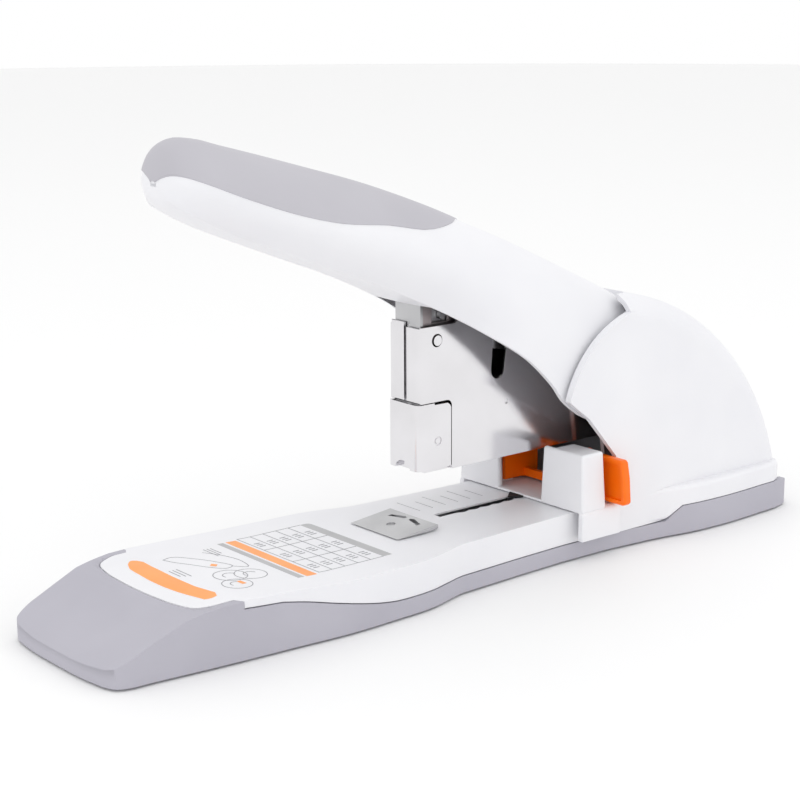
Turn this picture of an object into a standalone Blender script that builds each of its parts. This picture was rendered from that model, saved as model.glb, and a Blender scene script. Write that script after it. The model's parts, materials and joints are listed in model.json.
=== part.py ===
"""Heavy-duty desk stapler, modelled as an assembly of separate pieces.

X runs from the nose (-X) to the back (+X), Y across, Z up from the desk.
Stations along the body are given in millimetres back from the nose tip.
"""
import math

import bmesh
import bpy
from mathutils import Matrix, Vector

MM = 0.001
LENGTH = 292.0
GAP = 0.3                        # air between touching pieces

# pivots, as (station, height)
HANDLE_PIVOT = (213.8, 44.5)
HEAD_PIVOT = (263.5, 42.0)
LEVER_PIVOT = (240.0, 62.0)
DRIVE_PIN = (165.0, 78.0)
LINK_PIN = (141.5, 86.0)

# base
FLOOR_Z = 0.8                    # underside of the tray, on its feet
DECK_Z = 16.8
BAND_Z = 6.2                     # grey band along the waist
REAR_BAND_Z = 10.8
WALL = 2.0

# head
HEAD_HALF = 7.6
PLATE = 0.8
HEAD_FRONT = 130.4
HEAD_BOTTOM = 35.0
HEAD_TOP = 83.0

# paper guide
GUIDE_FRONT = 180.9
GUIDE_REAR = 199.0
GUIDE_TOP = 18.0
TOWER_TOP = 37.0
TOWER_DEPTH = 10.9
WEB_REAR = 201.8                 # the release's side webs end here, inside the housing

# housing and handle
HOUSING_HALF = 27.8
HUB_HALF = 25.0
HUB_RADIUS = 34.0
LIP_RADIUS = 38.4
PAD_THICK = 1.3
SHELL_THICK = 2.2

PART_NAME = "heavy_duty_stapler"


def clear_scene():
    for thing in list(bpy.data.objects):
        bpy.data.objects.remove(thing, do_unlink=True)


def make_collection(name):
    group = bpy.data.collections.new(name)
    bpy.context.scene.collection.children.link(group)
    return group


clear_scene()
PARTS = make_collection(PART_NAME)
CUTTERS = make_collection("cutters")


def place(station, y, z):
    return Vector(((station - LENGTH / 2) * MM, y * MM, z * MM))


def finish(name, color, roughness=0.45, metallic=0.0):
    made = bpy.data.materials.new(name)
    made.use_nodes = True
    shader = made.node_tree.nodes["Principled BSDF"]
    shader.inputs["Base Color"].default_value = (*color, 1.0)
    shader.inputs["Roughness"].default_value = roughness
    shader.inputs["Metallic"].default_value = metallic
    return made


FINISHES = {
    "white": ((0.86, 0.86, 0.88), 0.38, 0.0),
    "grey": ((0.44, 0.43, 0.48), 0.6, 0.0),
    "orange": ((1.0, 0.17, 0.01), 0.4, 0.0),
    "chrome": ((0.75, 0.74, 0.73), 0.18, 1.0),
    "steel": ((0.55, 0.55, 0.57), 0.35, 1.0),
    "rubber": ((0.03, 0.03, 0.03), 0.85, 0.0),
}


def adopt(name, mesh, kind, where=None):
    """Link a finished mesh as a named piece, or as a cutter when kind is None."""
    thing = bpy.data.objects.new(name, mesh)
    if where is not None:
        thing.location = where
    if kind is None:
        CUTTERS.objects.link(thing)
        thing.hide_render = True
        thing.display_type = "WIRE"
        return thing
    PARTS.objects.link(thing)
    mesh.materials.clear()
    mesh.materials.append(finish(name, *FINISHES[kind]))
    return thing


def smooth(thing, degrees=35.0):
    thing.data.shade_smooth()
    thing.data.set_sharp_from_angle(angle=math.radians(degrees))
    return thing


def mesh_from(maker, name):
    work = bmesh.new()
    maker(work)
    mesh = bpy.data.meshes.new(name)
    work.to_mesh(mesh)
    work.free()
    return mesh


def block(name, kind, low, high):
    """Box between two corners, each (station, y, z)."""
    a, b = place(*low), place(*high)

    def maker(work):
        bmesh.ops.create_cube(work, size=1.0)
        bmesh.ops.scale(work, vec=b - a, verts=work.verts)
    return adopt(name, mesh_from(maker, name), kind, (a + b) / 2)


def rod(name, kind, center, radius, half, axis="Y", sides=24):
    """Cylinder about center (station, y, z), half its length each way."""
    turns = {"X": Matrix.Rotation(math.pi / 2, 4, "Y"),
             "Y": Matrix.Rotation(math.pi / 2, 4, "X"),
             "Z": Matrix.Identity(4)}

    def maker(work):
        bmesh.ops.create_cone(work, cap_ends=True, segments=sides, radius1=radius * MM,
                              radius2=radius * MM, depth=2 * half * MM)
        bmesh.ops.transform(work, matrix=turns[axis], verts=work.verts)
    return smooth(adopt(name, mesh_from(maker, name), kind, place(*center)))


def circle(center, radius, sides=20, start=0.0, stop=360.0):
    """Points of an arc about a (station, height) or (station, y) center."""
    full = abs(stop - start) >= 360.0
    steps = sides if full else sides - 1
    turns = [math.radians(start + (stop - start) * i / steps) for i in range(sides)]
    return [(center[0] + radius * math.cos(t), center[1] + radius * math.sin(t)) for t in turns]


def slab(name, kind, outlines, low, high, axis="Y"):
    """Flat outline with holes, extruded between low and high along an axis.

    Outlines are lists of (station, height) for Y and (station, y) for Z;
    for X they are (y, height), and low and high are stations.
    """
    curve = bpy.data.curves.new(name, "CURVE")
    curve.dimensions = "2D"
    curve.fill_mode = "BOTH"
    curve.extrude = (high - low) / 2 * MM
    for outline in outlines:
        line = curve.splines.new("POLY")
        line.points.add(len(outline) - 1)
        for point, (u, v) in zip(line.points, outline):
            point.co = (u * MM, v * MM, 0.0, 1.0)
        line.use_cyclic_u = True
    guide = bpy.data.objects.new(name + "_outline", curve)
    CUTTERS.objects.link(guide)
    seen = guide.evaluated_get(bpy.context.evaluated_depsgraph_get())
    mesh = bpy.data.meshes.new_from_object(seen)
    mesh.name = name
    bpy.data.objects.remove(guide, do_unlink=True)
    bpy.data.curves.remove(curve)
    middle = (low + high) / 2
    shift = -LENGTH / 2 * MM
    turns = {"Z": (Matrix.Identity(4), Vector((shift, 0, middle * MM))),
             "Y": (Matrix.Rotation(math.pi / 2, 4, "X"), Vector((shift, middle * MM, 0))),
             "X": (Matrix(((0, 0, 1, 0), (1, 0, 0, 0), (0, 1, 0, 0), (0, 0, 0, 1))),
                   Vector((shift + middle * MM, 0, 0)))}
    turn, where = turns[axis]
    work = bmesh.new()
    work.from_mesh(mesh)
    bmesh.ops.transform(work, matrix=turn, verts=work.verts)
    bmesh.ops.remove_doubles(work, verts=work.verts, dist=1e-6)
    bmesh.ops.recalc_face_normals(work, faces=work.faces)
    work.to_mesh(mesh)
    work.free()
    return adopt(name, mesh, kind, where)


def boolean(thing, tool, operation="DIFFERENCE"):
    change = thing.modifiers.new(tool.name, "BOOLEAN")
    change.operation = operation
    change.solver = "EXACT"
    change.object = tool
    return thing


def rounded(thing, width, segments=3, degrees=40.0):
    soft = thing.modifiers.new("rounded", "BEVEL")
    soft.width = width * MM
    soft.segments = segments
    soft.limit_method = "ANGLE"
    soft.angle_limit = math.radians(degrees)
    return thing


def hang(pieces, name, pivot, parent=None):
    """Parent moving pieces to an empty on their joint, leaving them where they are."""
    mark = bpy.data.objects.new(name, None)
    PARTS.objects.link(mark)
    spot = place(*pivot)
    mark.location = spot
    if parent is not None:
        mark.parent = parent
        mark.matrix_parent_inverse = Matrix.Translation(-parent.location)
    for piece in pieces:
        piece.parent = mark
        piece.matrix_parent_inverse = Matrix.Translation(-spot)
    return mark


# ---------------------------------------------------------------- base

# half of the base's outline, from the nose round to the back
HALF_OUTLINE = [(0.0, 0.0), (0.2, 13.0), (0.9, 20.0), (1.9, 25.5), (3.3, 28.0), (5.8, 29.2),
                (14.0, 30.0), (41.5, 32.4), (62.0, 33.6), (76.0, 34.6), (84.0, 34.8),
                (97.0, 34.2), (115.0, 32.8), (124.0, 30.2), (130.0, 28.6), (135.0, 28.3),
                (218.0, 28.3), (224.0, 29.2), (234.0, 31.0), (250.0, 32.0), (270.0, 31.2),
                (284.0, 29.8), (288.5, 28.0), (290.8, 24.5), (292.0, 17.0), (292.0, 0.0)]


def inset(step, first=-1.0, last=LENGTH + 1.0):
    """The base's outline drawn in by step, between two stations, as a closed ring."""
    side = []
    for i, (x, y) in enumerate(HALF_OUTLINE):
        before = HALF_OUTLINE[max(i - 1, 0)]
        after = HALF_OUTLINE[min(i + 1, len(HALF_OUTLINE) - 1)]
        run = Vector((after[0] - before[0], after[1] - before[1]))
        if i in (0, len(HALF_OUTLINE) - 1):
            run = Vector((0.0, 1.0 if i == 0 else -1.0))
        run.normalize()
        side.append((x + run.y * step, y - run.x * step))
    kept = [p for p in side if first < p[0] < last]
    if first > side[0][0]:
        kept.insert(0, (first, between(side, first)))
    if last < side[-1][0]:
        kept.append((last, between(side, last)))
    return kept + [(x, -y) for x, y in reversed(kept) if abs(y) > 1e-6]


def between(line, station):
    for (x0, y0), (x1, y1) in zip(line, line[1:]):
        if x0 <= station <= x1 and x1 > x0:
            return y0 + (y1 - y0) * (station - x0) / (x1 - x0)
    raise ValueError("station is off the outline")


WIDE = 60.0
# side view of the tray's top: nose slope, crest, fall to the waist band, step up at the back
TRAY_TOP = [(0.0, 5.2), (25.0, 16.5), (37.5, 18.4), (43.5, 18.4), (43.5, 16.1), (57.0, 15.3),
            (73.5, 11.6), (99.0, BAND_Z), (223.0, BAND_Z), (231.0, REAR_BAND_Z),
            (293.0, REAR_BAND_Z)]
COVER_TOP = [(27.0, 17.3), (37.5, 18.6), (45.0, 18.6), (59.5, 18.0), (81.5, DECK_Z),
             (GUIDE_REAR + 1.0, DECK_Z)]
SCREW_SPOTS = [(66.0, 20.0), (66.0, -20.0), (276.0, 19.0), (276.0, -19.0)]
FOOT_SPOTS = [(9.0, 16.0), (9.0, -16.0), (262.0, 19.0), (262.0, -19.0)]
COVER_FRONT = [(43.5, -29.2), (35.0, -28.8), (31.0, -26.5), (28.9, -20.0), (27.9, -10.0),
               (27.6, 0.0), (27.9, 10.0), (28.9, 20.0), (31.0, 26.5), (35.0, 28.8), (43.5, 29.2)]


def make_tray():
    tray = slab("base_tray", "grey", [inset(0.0)], FLOOR_Z, 24.0, "Z")
    ground = [(-5.0, -5.0)] + [(-5.0, 2.8)] + TRAY_TOP + [(297.0, REAR_BAND_Z), (297.0, -5.0)]
    boolean(tray, slab("tray_profile", None, [ground], -WIDE, WIDE), "INTERSECT")
    boolean(tray, slab("tray_pan", None, [inset(WALL, 47.0, 289.5)], FLOOR_Z + 1.6, 30.0, "Z"))
    recess = [(x, y * 1.01) for x, y in COVER_FRONT] + [(50.0, 29.5), (50.0, -29.5)]
    boolean(tray, slab("front_recess", None, [recess], 15.3, 30.0, "Z"))
    hollow = [(16.0, -2.0), (16.0, 9.0), (27.0, 13.2), (44.5, 13.2), (44.5, -2.0)]
    boolean(tray, slab("nose_hollow", None, [hollow], -25.0, 25.0))
    for i, (x, y) in enumerate(SCREW_SPOTS):
        boolean(tray, rod(f"tray_hole_{i}", None, (x, y, 2.0), 3.8, 4.0, "Z", 16))
    return tray


def make_cover():
    last = GUIDE_REAR + 0.5
    front = [(x + 0.3, y * 0.995) for x, y in COVER_FRONT]
    outline = front + [p for p in inset(0.3, 43.8, last) if p[1] > 0]
    outline += [p for p in inset(0.3, 43.8, last) if p[1] < 0]
    cover = slab("base_cover", "white", [outline], 0.0, 30.0, "Z")
    side = COVER_TOP + [(last + 2, DECK_Z), (last + 2, BAND_Z + GAP), (99.0, BAND_Z + GAP),
                        (73.5, 11.6 + GAP), (57.0, 15.3 + GAP), (44.0, 16.1 + GAP), (43.0, 15.6),
                        (27.0, 15.6)]
    boolean(cover, slab("cover_profile", None, [side], -WIDE, WIDE), "INTERSECT")
    rounded(cover, 1.6, 2, 50.0)
    boolean(cover, slab("cover_hollow", None, [inset(2.4, 60.0, last - 1.5)], -2.0,
                        DECK_Z - 1.8, "Z"))
    slot = [(144.5, -0.8), (191.5, -0.8), (191.5, 2.8), (144.5, 2.8)]
    boolean(cover, slab("guide_slot", None, [slot], 0.0, 30.0, "Z"))
    boolean(cover, block("anvil_hole", None, (118.5, -9.5, 0.0), (132.4, 9.5, 30.0)))
    return cover


def make_base_inside():
    plate = slab("base_plate", "steel", [inset(6.0, 50.0, 285.0)]
                 + [circle(spot, 1.9, 12) for spot in SCREW_SPOTS], 3.0, 4.4, "Z")
    wedge = [(119.3, 4.7), (131.6, 4.7), (131.6, 16.6), (119.3, 15.3)]
    riser = slab("anvil_riser", "steel", [wedge], -8.6, 8.6)
    tilted = [(116.8, 17.15), (133.9, 18.95), (133.9, 17.65), (130.0, 17.15)]
    anvil = slab("anvil_plate", "chrome", [tilted], -12.3, 12.3)
    return [plate, riser, anvil]


def make_feet_and_screws():
    for i, (x, y) in enumerate(FOOT_SPOTS):
        rod(f"foot_{i + 1}", "rubber", (x, y, 0.25), 5.5, 0.25, "Z")
    for i, (x, y) in enumerate(SCREW_SPOTS):
        screw = rod(f"base_screw_{i + 1}", "steel", (x, y, 6.5), 1.5, 5.0, "Z", 12)
        boolean(screw, rod(f"screw_head_{i}", None, (x, y, 1.9), 3.4, 0.8, "Z", 16), "UNION")


# ---------------------------------------------------------------- housing and bracket

DOME_CENTER = (193.5, -8.5)
DOME_RADIUS = 97.0
LIP_TOP = 102.7                  # ends of the lip's arc about the handle pivot, in degrees
LIP_FOOT = 163.4


SHOULDER = 8.5                   # radius of the dome's rounded side edges
FRONT_CUT = 168.0                # station ahead of everything that is kept of the dome
FOOT_END = 286.6                 # the housing's foot stops short of the tray's back


def dome(name, kind, step, low):
    """Dome as a stack of side views across Y, each smaller towards the sides."""
    half, soft = HOUSING_HALF - step, SHOULDER - step
    slices = [half - soft * (1 - math.sin(math.radians(turn))) for turn in (0, 25, 50, 70, 90)]
    slices = [-y for y in reversed(slices)] + slices
    rings = []
    for y in slices:
        past = max(abs(y) - (half - soft), 0.0)
        radius = DOME_RADIUS - step - soft + math.sqrt(max(soft ** 2 - past ** 2, 0.0))
        arc = circle(DOME_CENTER, radius, 20, 97.0, 17.0)
        rings.append([(x, y, z) for x, z in
                      [(FRONT_CUT, low), (FRONT_CUT, arc[0][1])] + arc + [(arc[-1][0], low)]])

    def maker(work):
        grid = [[work.verts.new(place(*point)) for point in ring] for ring in rings]
        for near, far in zip(grid, grid[1:]):
            for i in range(len(near)):
                j = (i + 1) % len(near)
                work.faces.new((near[i], near[j], far[j], far[i]))
        work.faces.new(grid[0][::-1])
        work.faces.new(grid[-1])
        bmesh.ops.recalc_face_normals(work, faces=work.faces)
    return adopt(name, mesh_from(maker, name), kind)


def make_housing():
    housing = smooth(dome("rear_housing", "white", 0.0, -4.0))
    foot = slab("housing_foot", None, [inset(0.1, GUIDE_REAR + 1.0, FOOT_END)], BAND_Z + GAP,
                DECK_Z + 1.2, "Z")
    boolean(housing, foot, "UNION")
    step = [(150.0, -5.0), (150.0, BAND_Z + GAP), (222.5, BAND_Z + GAP),
            (230.5, REAR_BAND_Z + GAP), (297.0, REAR_BAND_Z + GAP), (297.0, -5.0)]
    boolean(housing, slab("tray_clearance", None, [step], -WIDE, WIDE))
    boolean(housing, dome("dome_hollow", None, WALL, -9.0))
    boolean(housing, slab("foot_hollow", None, [inset(2.0, GUIDE_REAR + 3.2, FOOT_END - 2.2)], -2.0,
                          DECK_Z - 1.0, "Z"))
    lip = circle(HANDLE_PIVOT, LIP_RADIUS, 14, LIP_FOOT, LIP_TOP)
    opening = [(GUIDE_REAR + 0.8, -5.0), (GUIDE_REAR + 0.8, 30.0), (199.4, 33.6), (191.7, 42.4),
               (186.5, 48.3), (181.4, 52.2)] + lip + [(205.4, 100.0), (140.0, 100.0),
                                                     (140.0, -5.0)]
    boolean(housing, slab("front_opening", None, [opening], -WIDE, WIDE))
    scoop = circle((205.4, 0.0), 1.0, 13, -90.0, 90.0)
    scoop = [(205.0 + 17.5 * (x - 205.4), 27.0 * y) for x, y in scoop]
    boolean(housing, slab("crown_scoop", None, [scoop + [(180.0, 27.0), (180.0, -27.0)]],
                          79.0, 100.0, "Z"))
    return housing


def make_bracket():
    side = ([(211.0, 4.7), (283.0, 4.7), (283.0, 8.0)]
            + circle(HEAD_PIVOT, 7.0, 7, 0.0, 90.0) + circle(HANDLE_PIVOT, 9.0, 7, 60.0, 180.0)
            + [(208.0, 20.0)])
    bracket = slab("pivot_bracket", "steel", [side, circle(HANDLE_PIVOT, 4.1, 20),
                                              circle(HEAD_PIVOT, 3.1, 16)], -15.2, 15.2)
    boolean(bracket, block("bracket_gap", None, (200.0, -13.6, 6.3), (290.0, 13.6, 80.0)))
    for i, (x, y) in enumerate(SCREW_SPOTS[2:]):
        boolean(bracket, rod(f"bracket_hole_{i}", None, (x, y, 6.0), 3.9, 4.0, "Z", 12))
    handle_pin = rod("handle_pin", "steel", (HANDLE_PIVOT[0], 0, HANDLE_PIVOT[1]), 4.0, 22.0)
    head_pin = rod("head_pin", "steel", (HEAD_PIVOT[0], 0, HEAD_PIVOT[1]), 3.0, 16.5,
                   sides=16)
    return [bracket, handle_pin, head_pin]


def coil(name, center, radius, wire, turns, low, high, axis="Z", sides=14):
    """Open spring of round wire between two places along its axis."""
    curve = bpy.data.curves.new(name, "CURVE")
    curve.dimensions = "3D"
    curve.bevel_depth = wire / 2 * MM
    curve.bevel_resolution = 1
    curve.use_fill_caps = True
    line = curve.splines.new("POLY")
    count = int(turns * sides) + 1
    line.points.add(count - 1)
    for i, point in enumerate(line.points):
        turn = 2 * math.pi * i / sides
        u, v = radius * math.cos(turn), radius * math.sin(turn)
        along = low + (high - low) * i / (count - 1)
        local = {"Z": (u, v, along), "Y": (u, along, v), "X": (along, u, v)}[axis]
        point.co = (local[0] * MM, local[1] * MM, local[2] * MM, 1.0)
    spring = bpy.data.objects.new(name, curve)
    spring.location = place(*center)
    PARTS.objects.link(spring)
    curve.materials.append(finish(name, *FINISHES["steel"]))
    return spring


# ---------------------------------------------------------------- handle

# stations along the handle: ridge point, lower edge point, half width, and the share of
# the half width by which the lower edge is drawn in under the grip
SPINE = [((38.3, 137.6), (38.3, 134.6), 3.0, 0.2), ((39.5, 142.6), (39.5, 131.0), 9.0, 0.3),
         ((41.6, 146.0), (42.0, 128.4), 13.5, 0.35), ((45.6, 147.9), (46.4, 126.0), 17.2, 0.4),
         ((51.0, 147.6), (52.0, 123.0), 19.8, 0.45), ((59.5, 145.3), (60.0, 119.3), 21.4, 0.45),
         ((72.0, 141.9), (74.0, 113.7), 22.6, 0.45), ((90.0, 136.8), (90.5, 107.2), 23.4, 0.45),
         ((109.0, 131.3), (107.0, 100.9), 24.0, 0.45), ((129.0, 124.4), (127.0, 92.0), 24.4, 0.4),
         ((140.5, 120.0), (138.0, 86.4), 24.6, 0.3), ((151.0, 115.6), (149.0, 79.8), 24.8, 0.15),
         ((153.0, 114.8), (150.7, 78.8), 24.8, 0.13), ((166.0, 109.0), (162.0, 71.0), 25.0, 0.0),
         ((181.0, 101.8), (172.5, 61.5), 25.0, 0.0), ((197.0, 94.0), (180.0, 53.0), 25.0, 0.0),
         ((211.0, 87.0), (192.3, 46.5), 25.0, 0.0), ((221.0, 81.6), (205.0, 48.0), 25.0, 0.0),
         ((228.2, 79.0), (215.0, 56.0), 25.0, 0.0), ((237.0, 73.0), (225.0, 54.0), 25.0, 0.0)]
PAD_FIRST = 2
PAD_LAST = 11                    # the pad's point is at this station
PAD_SPREAD = [4.0, 36.0, 55.0, 62.0, 65.0, 65.0, 65.0, 62.0, 53.0, 42.0, 25.0, 4.0]
ARCH = 2.15                      # roundness of the crown: 2 is an ellipse
HUB_ARCH = 4.5                   # squarer where it enters the housing
ARCH_RISE = (150.0, 205.0)       # ridge stations between which it changes
LEAN_START = 60.0                # degrees from the ridge at which the side begins to draw in


def crown(index, degrees, sink=0.0):
    """Point on the handle's skin, degrees away from its ridge, sunk by a depth in mm."""
    ridge, edge, half, tuck = SPINE[index]
    share = (ridge[0] - ARCH_RISE[0]) / (ARCH_RISE[1] - ARCH_RISE[0])
    power = 2.0 / (ARCH + (HUB_ARCH - ARCH) * min(max(share, 0.0), 1.0))
    turn = math.radians(90.0 - abs(degrees))
    across = math.copysign(abs(math.cos(turn)) ** power, degrees)
    lean = max(abs(degrees) - LEAN_START, 0.0) / (90.0 - LEAN_START)
    across *= 1.0 - tuck * lean ** 2
    drop = 1.0 - abs(math.sin(turn)) ** power
    start, end = Vector(ridge), Vector(edge)
    start += (end - start).normalized() * sink
    point = start + (end - start) * drop
    return place(point.x, across * (half - sink), point.y)


def loft(name, kind, rows, thickness, capped=False):
    """Skin over rows of points, given thickness inwards."""
    def maker(work):
        grid = [[work.verts.new(p) for p in row] for row in rows]
        for near, far in zip(grid, grid[1:]):
            for i in range(len(near) - 1):
                work.faces.new((near[i], near[i + 1], far[i + 1], far[i]))
        if capped:
            work.faces.new(grid[0][::-1])
        work.normal_update()
        if sum(face.normal.z for face in work.faces) < 0:
            bmesh.ops.reverse_faces(work, faces=work.faces)
    thing = adopt(name, mesh_from(maker, name), kind)
    wall = thing.modifiers.new("wall", "SOLIDIFY")
    wall.thickness = thickness * MM
    wall.offset = -1.0
    return smooth(thing, 30.0)


def mirrored(half):
    return [-turn for turn in half] + [0.0] + half[::-1]


def make_handle_shell():
    rows = []
    for index in range(len(SPINE)):
        padded = PAD_FIRST <= index <= PAD_LAST
        spread = PAD_SPREAD[index] if index <= PAD_LAST else 4.0
        brim = spread + 1.5
        sides = [90.0, 84.0, 78.0, 72.0] + [brim + (72.0 - brim) * k for k in (0.66, 0.33, 0.0)]
        inner = [spread + 0.4, spread * 0.7, spread * 0.35]
        sink = PAD_THICK + 2 * GAP if padded else 0.0
        row = [crown(index, -turn) for turn in sides]
        row += [crown(index, turn, sink) for turn in mirrored(inner)]
        row += [crown(index, turn) for turn in sides[::-1]]
        rows.append(row)
    shell = loft("handle_shell", "white", rows, SHELL_THICK, capped=True)
    hub = circle(HANDLE_PIVOT, HUB_RADIUS, 20, -10.0, 165.0) + [(192.3, 45.5), (206.0, 36.5)]
    for side, low in (("near", -HUB_HALF), ("far", HUB_HALF - SHELL_THICK)):
        boolean(shell, slab(f"hub_{side}", None, [hub], low, low + SHELL_THICK), "UNION")
    return shell


def make_pad():
    rows = []
    for index in range(PAD_FIRST, PAD_LAST):
        spread = PAD_SPREAD[index] - 0.8
        turns = mirrored([spread, spread * 0.8, spread * 0.6, spread * 0.25])
        rows.append([crown(index, turn) for turn in turns])
    return loft("handle_pad", "grey", rows, PAD_THICK)


GRIP_LINE = [(53.5, 122.4), (60.0, 119.4), (74.0, 113.8), (90.5, 107.3), (107.0, 101.0),
             (124.0, 93.3)]


def make_handle_inside():
    lower = [(x, z + 0.4) for x, z in GRIP_LINE]
    upper = [(x, z + 2.0) for x, z in GRIP_LINE[::-1]]
    grip = slab("grip_cover", "white", [lower + upper], -8.4, 8.4)
    arm = (circle(HANDLE_PIVOT, 9.0, 14, -90.0, 90.0)
           + [(205.0, 80.0), (190.0, 88.0), (164.0, 97.0), (164.0, 84.0), (167.2, 80.8),
              (170.2, 78.2), (172.3, 74.8), (176.0, 70.0), (202.0, 48.0)])
    frame = slab("handle_frame", "steel", [arm, circle(HANDLE_PIVOT, 4.1, 20)], -10.5, 10.5)
    boolean(frame, block("frame_gap", None, (150.0, -8.7, 20.0), (186.0, 8.7, 120.0)))
    boolean(frame, block("frame_gap_rear", None, (198.0, -8.7, 20.0), (230.0, 8.7, 120.0)))
    boolean(frame, block("frame_gap_low", None, (180.0, -8.7, 20.0), (205.0, 8.7, 84.6)))
    screws = []
    for side, y in (("near", -5.0), ("far", 5.0)):
        boolean(frame, rod(f"frame_hole_{side}", None, (192.0, y, 86.0), 1.8, 6.0, "Z", 12))
        screw = rod(f"frame_screw_{side}", "steel", (192.0, y, 86.2), 1.5, 3.4, "Z", 12)
        boolean(screw, rod(f"frame_screw_head_{side}", None, (192.0, y, 83.5), 2.6, 0.8, "Z", 14),
                "UNION")
        screws.append(screw)
    return [grip, frame] + screws


# ---------------------------------------------------------------- head

NOSE_FRONT = 129.2
NOSE_REAR = 143.4
NOSE_TOP = 57.9
INNER = HEAD_HALF - PLATE
FRONT_RIVET = (137.4, 78.3)
SPACER = (228.0, 49.0)


def plate_outline():
    rear = circle(HEAD_PIVOT, 7.6, 8, 60.0, -95.0)
    edge = HEAD_FRONT + 0.3
    return ([(edge, NOSE_TOP + GAP), (edge, HEAD_TOP), (145.0, HEAD_TOP),
             (148.5, 86.0), (161.0, 86.0), (173.0, 80.0), (214.0, 75.0), (234.0, 68.0), (246.0, 65.5)]
            + rear + [(258.0, HEAD_BOTTOM), (NOSE_REAR + GAP, HEAD_BOTTOM),
                      (NOSE_REAR + GAP, NOSE_TOP + GAP)])


def make_side_plates():
    slot = circle((165.0, 78.2), 3.3, 9, 0.0, 180.0) + circle((163.6, 65.0), 3.0, 9, 180.0, 360.0)
    window = (circle((214.0, 44.3), 5.0, 9, 180.0, 360.0)
              + circle((214.2, 50.4), 5.0, 9, 0.0, 180.0))
    holes = [slot, window, circle(HEAD_PIVOT, 3.1, 16), circle(LEVER_PIVOT, 2.6, 14),
             circle(SPACER, 2.1, 12), circle(FRONT_RIVET, 1.9, 12)]
    plates = []
    for side, sign, flange_top in (("near", -1, HEAD_TOP - 0.4), ("far", 1, HEAD_TOP + 1.0)):
        low, high = sorted((sign * INNER, sign * HEAD_HALF))
        plate = slab(f"side_plate_{side}", "chrome", [plate_outline()] + holes, low, high)
        low, high = sorted((sign * 0.6, sign * (HEAD_HALF - 0.3)))
        flange = block(f"flange_{side}", None, (HEAD_FRONT, low, NOSE_TOP + 2 * GAP),
                       (HEAD_FRONT + PLATE, high, flange_top))
        boolean(plate, flange, "UNION")
        plates.append(plate)
    return plates


def make_head():
    nose = [(NOSE_FRONT, -HEAD_HALF), (NOSE_REAR, -HEAD_HALF), (NOSE_REAR, -INNER),
            (131.2, -INNER), (131.2, INNER), (NOSE_REAR, INNER), (NOSE_REAR, HEAD_HALF),
            (NOSE_FRONT, HEAD_HALF)]
    pieces = make_side_plates()
    pieces.append(slab("nose_block", "chrome", [nose], 36.0, NOSE_TOP, "Z"))
    for side, sign in (("near", -1), ("far", 1)):
        pieces.append(rod(f"front_rivet_{side}", "steel",
                          (FRONT_RIVET[0], sign * 6.95, FRONT_RIVET[1]), 1.7, 1.05, sides=16))
    pieces.append(rod("head_spacer", "steel", (SPACER[0], 0, SPACER[1]), 2.0, 8.1, sides=14))
    pieces.append(rod("lever_pin", "steel", (LEVER_PIVOT[0], 0, LEVER_PIVOT[1]), 2.5, 8.3,
                      sides=16))
    pieces.append(block("magazine_floor", "chrome", (133.0, -6.4, 35.0), (240.0, 6.4, 35.8)))
    pieces.append(block("staple_rail", "steel", (133.4, -4.8, 36.2), (200.0, 4.8, 45.8)))
    strip = [(-6.4, 36.2), (-5.2, 36.2), (-5.2, 46.2), (5.2, 46.2), (5.2, 36.2), (6.4, 36.2),
             (6.4, 47.4), (-6.4, 47.4)]
    pieces.append(slab("staple_strip", "steel", [strip], 133.2, 174.0, "X"))
    pieces.append(block("spring_stop", "steel", (203.0, -6.4, 46.4), (204.6, 6.4, 54.0)))
    return pieces


def make_follower():
    side = [(-6.2, 36.4), (-5.2, 36.4), (-5.2, 46.2), (5.2, 46.2), (5.2, 36.4), (6.2, 36.4),
            (6.2, 52.0), (-6.2, 52.0)]
    return slab("follower", "steel", [side], 174.5, 183.0, "X")


def make_drive():
    """Lever with its two cross pins, and the driver that it pushes down."""
    tip, pin = LINK_PIN, DRIVE_PIN
    outline = (circle(tip, 4.0, 9, 90.0, 270.0) + [(165.0, 71.5), (212.0, 61.0)]
               + circle(LEVER_PIVOT, 5.5, 9, -90.0, 90.0) + [(215.0, 71.5), (165.0, 84.0)])
    lever = slab("drive_lever", "steel", [outline, circle(LEVER_PIVOT, 2.7, 16),
                                          circle(pin, 2.7, 16), circle(tip, 1.7, 12)], -4.0, 4.0)
    drive_pin = rod("drive_pin", "steel", (pin[0], 0, pin[1]), 2.5, 10.2, sides=20)
    link_pin = rod("link_pin", "steel", (tip[0], 0, tip[1]), 1.5, 5.4, sides=12)
    channel = [(132.9, -5.4), (146.5, -5.4), (146.5, -4.4), (134.1, -4.4), (134.1, 4.4),
               (146.5, 4.4), (146.5, 5.4), (132.9, 5.4)]
    driver = slab("driver_block", "chrome", [channel], 66.0, 103.0, "Z")
    slot = [(137.0, 83.6), (144.0, 83.6), (144.0, 88.4), (137.0, 88.4)]
    boolean(driver, slab("link_slot", None, [slot], -8.0, 8.0))
    blade = block("driver_blade", "steel", (131.6, -6.2, 53.4), (132.6, 6.2, 95.0))
    return [lever, drive_pin, link_pin], [driver, blade]


# ---------------------------------------------------------------- paper guide

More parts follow.
